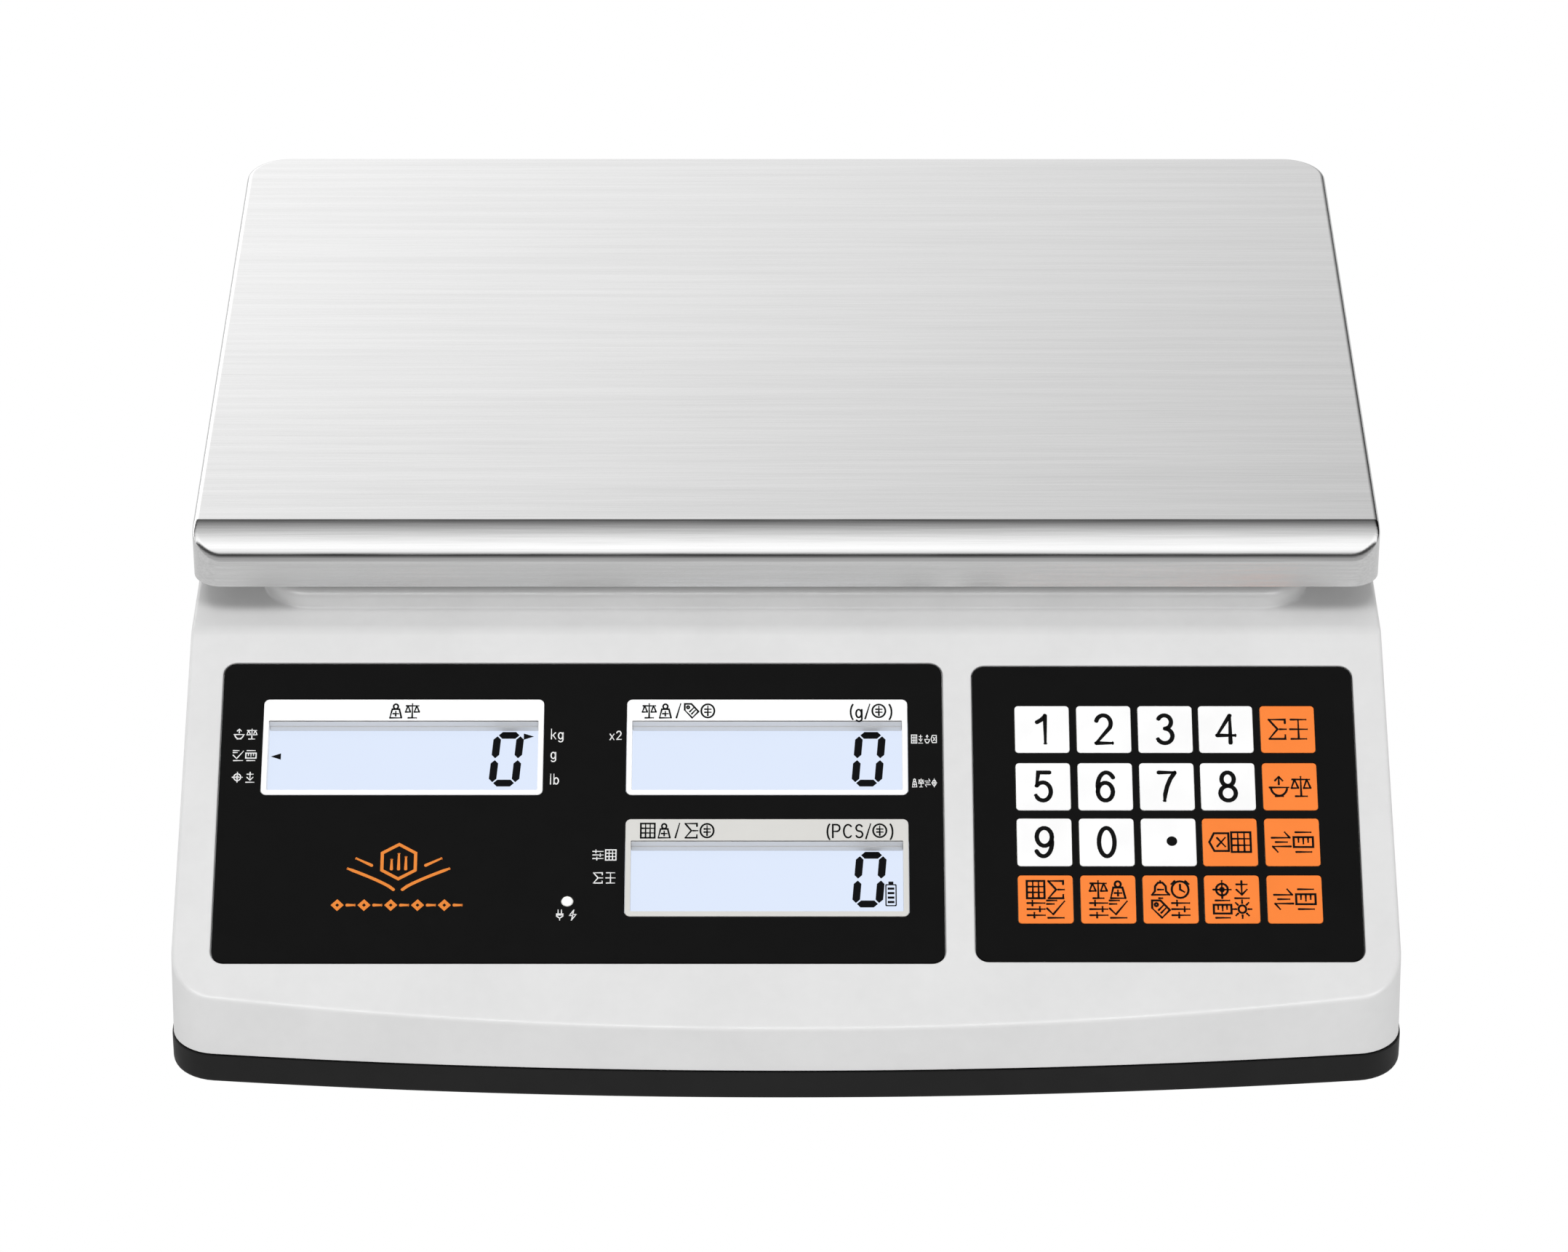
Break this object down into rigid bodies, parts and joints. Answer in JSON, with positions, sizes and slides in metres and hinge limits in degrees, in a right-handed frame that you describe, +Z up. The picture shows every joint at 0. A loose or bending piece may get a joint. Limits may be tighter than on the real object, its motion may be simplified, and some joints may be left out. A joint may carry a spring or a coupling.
{
  "type": "electronic counting scale",
  "caption": "Desktop electronic counting scale: stainless pan on a load cell, white sloping front with LCD windows and a keypad, black base tray on levelling feet.",
  "frame": {"origin": "on the table, under the middle of the scale's bounding box", "axes": "+X to the user's right, +Y to the back of the scale, +Z up"},
  "size_m": [0.344, 0.3585, 0.1184],
  "materials": {
    "white_plastic": "fine-textured injection-moulded ABS",
    "black_plastic": "fine-textured injection-moulded ABS",
    "panel_film": "printed polyester overlay, velvet finish",
    "circuit_film": "polyester membrane circuit",
    "lamp": "diffused lens",
    "lcd_glass": "backlit liquid-crystal glass",
    "circuit_board": "green solder mask",
    "battery_case": "sealed lead-acid case",
    "core_steel": "varnished laminations",
    "cell_aluminium": "machined, clear anodised",
    "cast_iron_paint": "painted casting",
    "zinc_steel": "zinc-plated",
    "vial": "liquid-filled vial",
    "cable_sheath": "smooth sheath",
    "ribbon": "flat flexible cable",
    "spider_aluminium": "die-cast",
    "stainless": "fine straight brushing along the width",
    "switch_paddle": "smooth",
    "key_white": "printed, slightly glossy",
    "key_orange": "printed, slightly glossy",
    "stud_rubber": "soft moulded",
    "foot_rubber": "soft moulded",
    "foot_plastic": "knurled nylon disc on a screw"
  },
  "bodies": {
    "body": {"top_housing": "white_plastic", "base_tray": "black_plastic", "display_overlay": "panel_film", "keypad_overlay": "panel_film", "keypad_membrane": "circuit_film", "charge_led": "lamp", "lcd_weight": "lcd_glass", "lcd_unit": "lcd_glass", "lcd_total": "lcd_glass", "display_board": "circuit_board", "main_board": "circuit_board", "battery": "battery_case", "transformer": "core_steel", "load_cell": "cell_aluminium", "cell_bracket": "cast_iron_paint", "cell_base_bolts": "zinc_steel", "overload_stop": "zinc_steel", "power_inlet": "black_plastic", "switch_housing": "black_plastic", "spirit_level": "vial", "load_cell_cable": "cable_sheath", "keypad_ribbon": "ribbon"},
    "key_1": {"key_1": "key_white"},
    "key_2": {"key_2": "key_white"},
    "key_3": {"key_3": "key_white"},
    "key_4": {"key_4": "key_white"},
    "key_total": {"key_total": "key_orange"},
    "key_5": {"key_5": "key_white"},
    "key_6": {"key_6": "key_white"},
    "key_7": {"key_7": "key_white"},
    "key_8": {"key_8": "key_white"},
    "key_tare": {"key_tare": "key_orange"},
    "key_9": {"key_9": "key_white"},
    "key_0": {"key_0": "key_white"},
    "key_point": {"key_point": "key_white"},
    "key_clear": {"key_clear": "key_orange"},
    "key_unit_a": {"key_unit_a": "key_orange"},
    "key_quantity": {"key_quantity": "key_orange"},
    "key_unit_weight": {"key_unit_weight": "key_orange"},
    "key_alarm": {"key_alarm": "key_orange"},
    "key_zero": {"key_zero": "key_orange"},
    "key_unit_b": {"key_unit_b": "key_orange"},
    "load_platform": {"pan_support": "spider_aluminium", "cell_top_plate": "zinc_steel", "cell_top_bolts": "zinc_steel", "pan_stud_front_left": "stud_rubber", "pan_stud_front_right": "stud_rubber", "pan_stud_back_left": "stud_rubber", "pan_stud_back_right": "stud_rubber"},
    "pan": {"pan": "stainless"},
    "rocker": {"rocker": "switch_paddle"},
    "battery_door": {"battery_door": "black_plastic"},
    "foot_front_left": {"foot_pad_front_left": "foot_rubber"},
    "foot_screw_front_left": {"foot_screw_front_left": "foot_plastic"},
    "foot_front_right": {"foot_pad_front_right": "foot_rubber"},
    "foot_screw_front_right": {"foot_screw_front_right": "foot_plastic"},
    "foot_back_left": {"foot_pad_back_left": "foot_rubber"},
    "foot_screw_back_left": {"foot_screw_back_left": "foot_plastic"},
    "foot_back_right": {"foot_pad_back_right": "foot_rubber"},
    "foot_screw_back_right": {"foot_screw_back_right": "foot_plastic"}
  },
  "joints": [
    {"name": "key_1_press", "type": "slide", "parent": "body", "child": "key_1", "axis": [0, 0.5, -0.866], "range_m": [0, 0.0005], "stiffness_N_per_m": 1500},
    {"name": "key_2_press", "type": "slide", "parent": "body", "child": "key_2", "axis": [0, 0.5, -0.866], "range_m": [0, 0.0005], "stiffness_N_per_m": 1500},
    {"name": "key_3_press", "type": "slide", "parent": "body", "child": "key_3", "axis": [0, 0.5, -0.866], "range_m": [0, 0.0005], "stiffness_N_per_m": 1500},
    {"name": "key_4_press", "type": "slide", "parent": "body", "child": "key_4", "axis": [0, 0.5, -0.866], "range_m": [0, 0.0005], "stiffness_N_per_m": 1500},
    {"name": "key_total_press", "type": "slide", "parent": "body", "child": "key_total", "axis": [0, 0.5, -0.866], "range_m": [0, 0.0005], "stiffness_N_per_m": 1500},
    {"name": "key_5_press", "type": "slide", "parent": "body", "child": "key_5", "axis": [0, 0.5, -0.866], "range_m": [0, 0.0005], "stiffness_N_per_m": 1500},
    {"name": "key_6_press", "type": "slide", "parent": "body", "child": "key_6", "axis": [0, 0.5, -0.866], "range_m": [0, 0.0005], "stiffness_N_per_m": 1500},
    {"name": "key_7_press", "type": "slide", "parent": "body", "child": "key_7", "axis": [0, 0.5, -0.866], "range_m": [0, 0.0005], "stiffness_N_per_m": 1500},
    {"name": "key_8_press", "type": "slide", "parent": "body", "child": "key_8", "axis": [0, 0.5, -0.866], "range_m": [0, 0.0005], "stiffness_N_per_m": 1500},
    {"name": "key_tare_press", "type": "slide", "parent": "body", "child": "key_tare", "axis": [0, 0.5, -0.866], "range_m": [0, 0.0005], "stiffness_N_per_m": 1500},
    {"name": "key_9_press", "type": "slide", "parent": "body", "child": "key_9", "axis": [0, 0.5, -0.866], "range_m": [0, 0.0005], "stiffness_N_per_m": 1500},
    {"name": "key_0_press", "type": "slide", "parent": "body", "child": "key_0", "axis": [0, 0.5, -0.866], "range_m": [0, 0.0005], "stiffness_N_per_m": 1500},
    {"name": "key_point_press", "type": "slide", "parent": "body", "child": "key_point", "axis": [0, 0.5, -0.866], "range_m": [0, 0.0005], "stiffness_N_per_m": 1500},
    {"name": "key_clear_press", "type": "slide", "parent": "body", "child": "key_clear", "axis": [0, 0.5, -0.866], "range_m": [0, 0.0005], "stiffness_N_per_m": 1500},
    {"name": "key_unit_a_press", "type": "slide", "parent": "body", "child": "key_unit_a", "axis": [0, 0.5, -0.866], "range_m": [0, 0.0005], "stiffness_N_per_m": 1500},
    {"name": "key_quantity_press", "type": "slide", "parent": "body", "child": "key_quantity", "axis": [0, 0.5, -0.866], "range_m": [0, 0.0005], "stiffness_N_per_m": 1500},
    {"name": "key_unit_weight_press", "type": "slide", "parent": "body", "child": "key_unit_weight", "axis": [0, 0.5, -0.866], "range_m": [0, 0.0005], "stiffness_N_per_m": 1500},
    {"name": "key_alarm_press", "type": "slide", "parent": "body", "child": "key_alarm", "axis": [0, 0.5, -0.866], "range_m": [0, 0.0005], "stiffness_N_per_m": 1500},
    {"name": "key_zero_press", "type": "slide", "parent": "body", "child": "key_zero", "axis": [0, 0.5, -0.866], "range_m": [0, 0.0005], "stiffness_N_per_m": 1500},
    {"name": "key_unit_b_press", "type": "slide", "parent": "body", "child": "key_unit_b", "axis": [0, 0.5, -0.866], "range_m": [0, 0.0005], "stiffness_N_per_m": 1500},
    {"name": "platform_deflection", "type": "slide", "parent": "body", "child": "load_platform", "axis": [0, 0, -1], "range_m": [0, 0.0008], "stiffness_N_per_m": 400000, "deforming": ["load_cell"]},
    {"name": "pan_lift_off", "type": "slide", "parent": "load_platform", "child": "pan", "axis": [0, 0, 1], "range_m": [0, 0.08]},
    {"name": "power_switch", "type": "hinge", "parent": "body", "child": "rocker", "pos_m": [0.1663, 0.086, 0.035], "axis": [0, 0, 1], "range_deg": [0, 16]},
    {"name": "battery_door_slide", "type": "slide", "parent": "body", "child": "battery_door", "axis": [1, 0, 0], "range_m": [0, 0.012]},
    {"name": "foot_lift_front_left", "type": "slide", "parent": "body", "child": "foot_front_left", "axis": [0, 0, -1], "range_m": [0, 0.0063]},
    {"name": "foot_turn_front_left", "type": "hinge", "parent": "foot_front_left", "child": "foot_screw_front_left", "pos_m": [-0.135, -0.135, 0.005], "axis": [0, 0, -1], "range_deg": [0, 1800]},
    {"name": "foot_lift_front_right", "type": "slide", "parent": "body", "child": "foot_front_right", "axis": [0, 0, -1], "range_m": [0, 0.0063]},
    {"name": "foot_turn_front_right", "type": "hinge", "parent": "foot_front_right", "child": "foot_screw_front_right", "pos_m": [0.135, -0.135, 0.005], "axis": [0, 0, -1], "range_deg": [0, 1800]},
    {"name": "foot_lift_back_left", "type": "slide", "parent": "body", "child": "foot_back_left", "axis": [0, 0, -1], "range_m": [0, 0.0063]},
    {"name": "foot_turn_back_left", "type": "hinge", "parent": "foot_back_left", "child": "foot_screw_back_left", "pos_m": [-0.135, 0.135, 0.005], "axis": [0, 0, -1], "range_deg": [0, 1800]},
    {"name": "foot_lift_back_right", "type": "slide", "parent": "body", "child": "foot_back_right", "axis": [0, 0, -1], "range_m": [0, 0.0063]},
    {"name": "foot_turn_back_right", "type": "hinge", "parent": "foot_back_right", "child": "foot_screw_back_right", "pos_m": [0.135, 0.135, 0.005], "axis": [0, 0, -1], "range_deg": [0, 1800]}
  ],
  "couplings": [
    {"joint": "foot_lift_front_left", "follows": "foot_turn_front_left", "m_per_rad": 0.00019894},
    {"joint": "foot_lift_front_right", "follows": "foot_turn_front_right", "m_per_rad": 0.00019894},
    {"joint": "foot_lift_back_left", "follows": "foot_turn_back_left", "m_per_rad": 0.00019894},
    {"joint": "foot_lift_back_right", "follows": "foot_turn_back_right", "m_per_rad": 0.00019894}
  ]
}
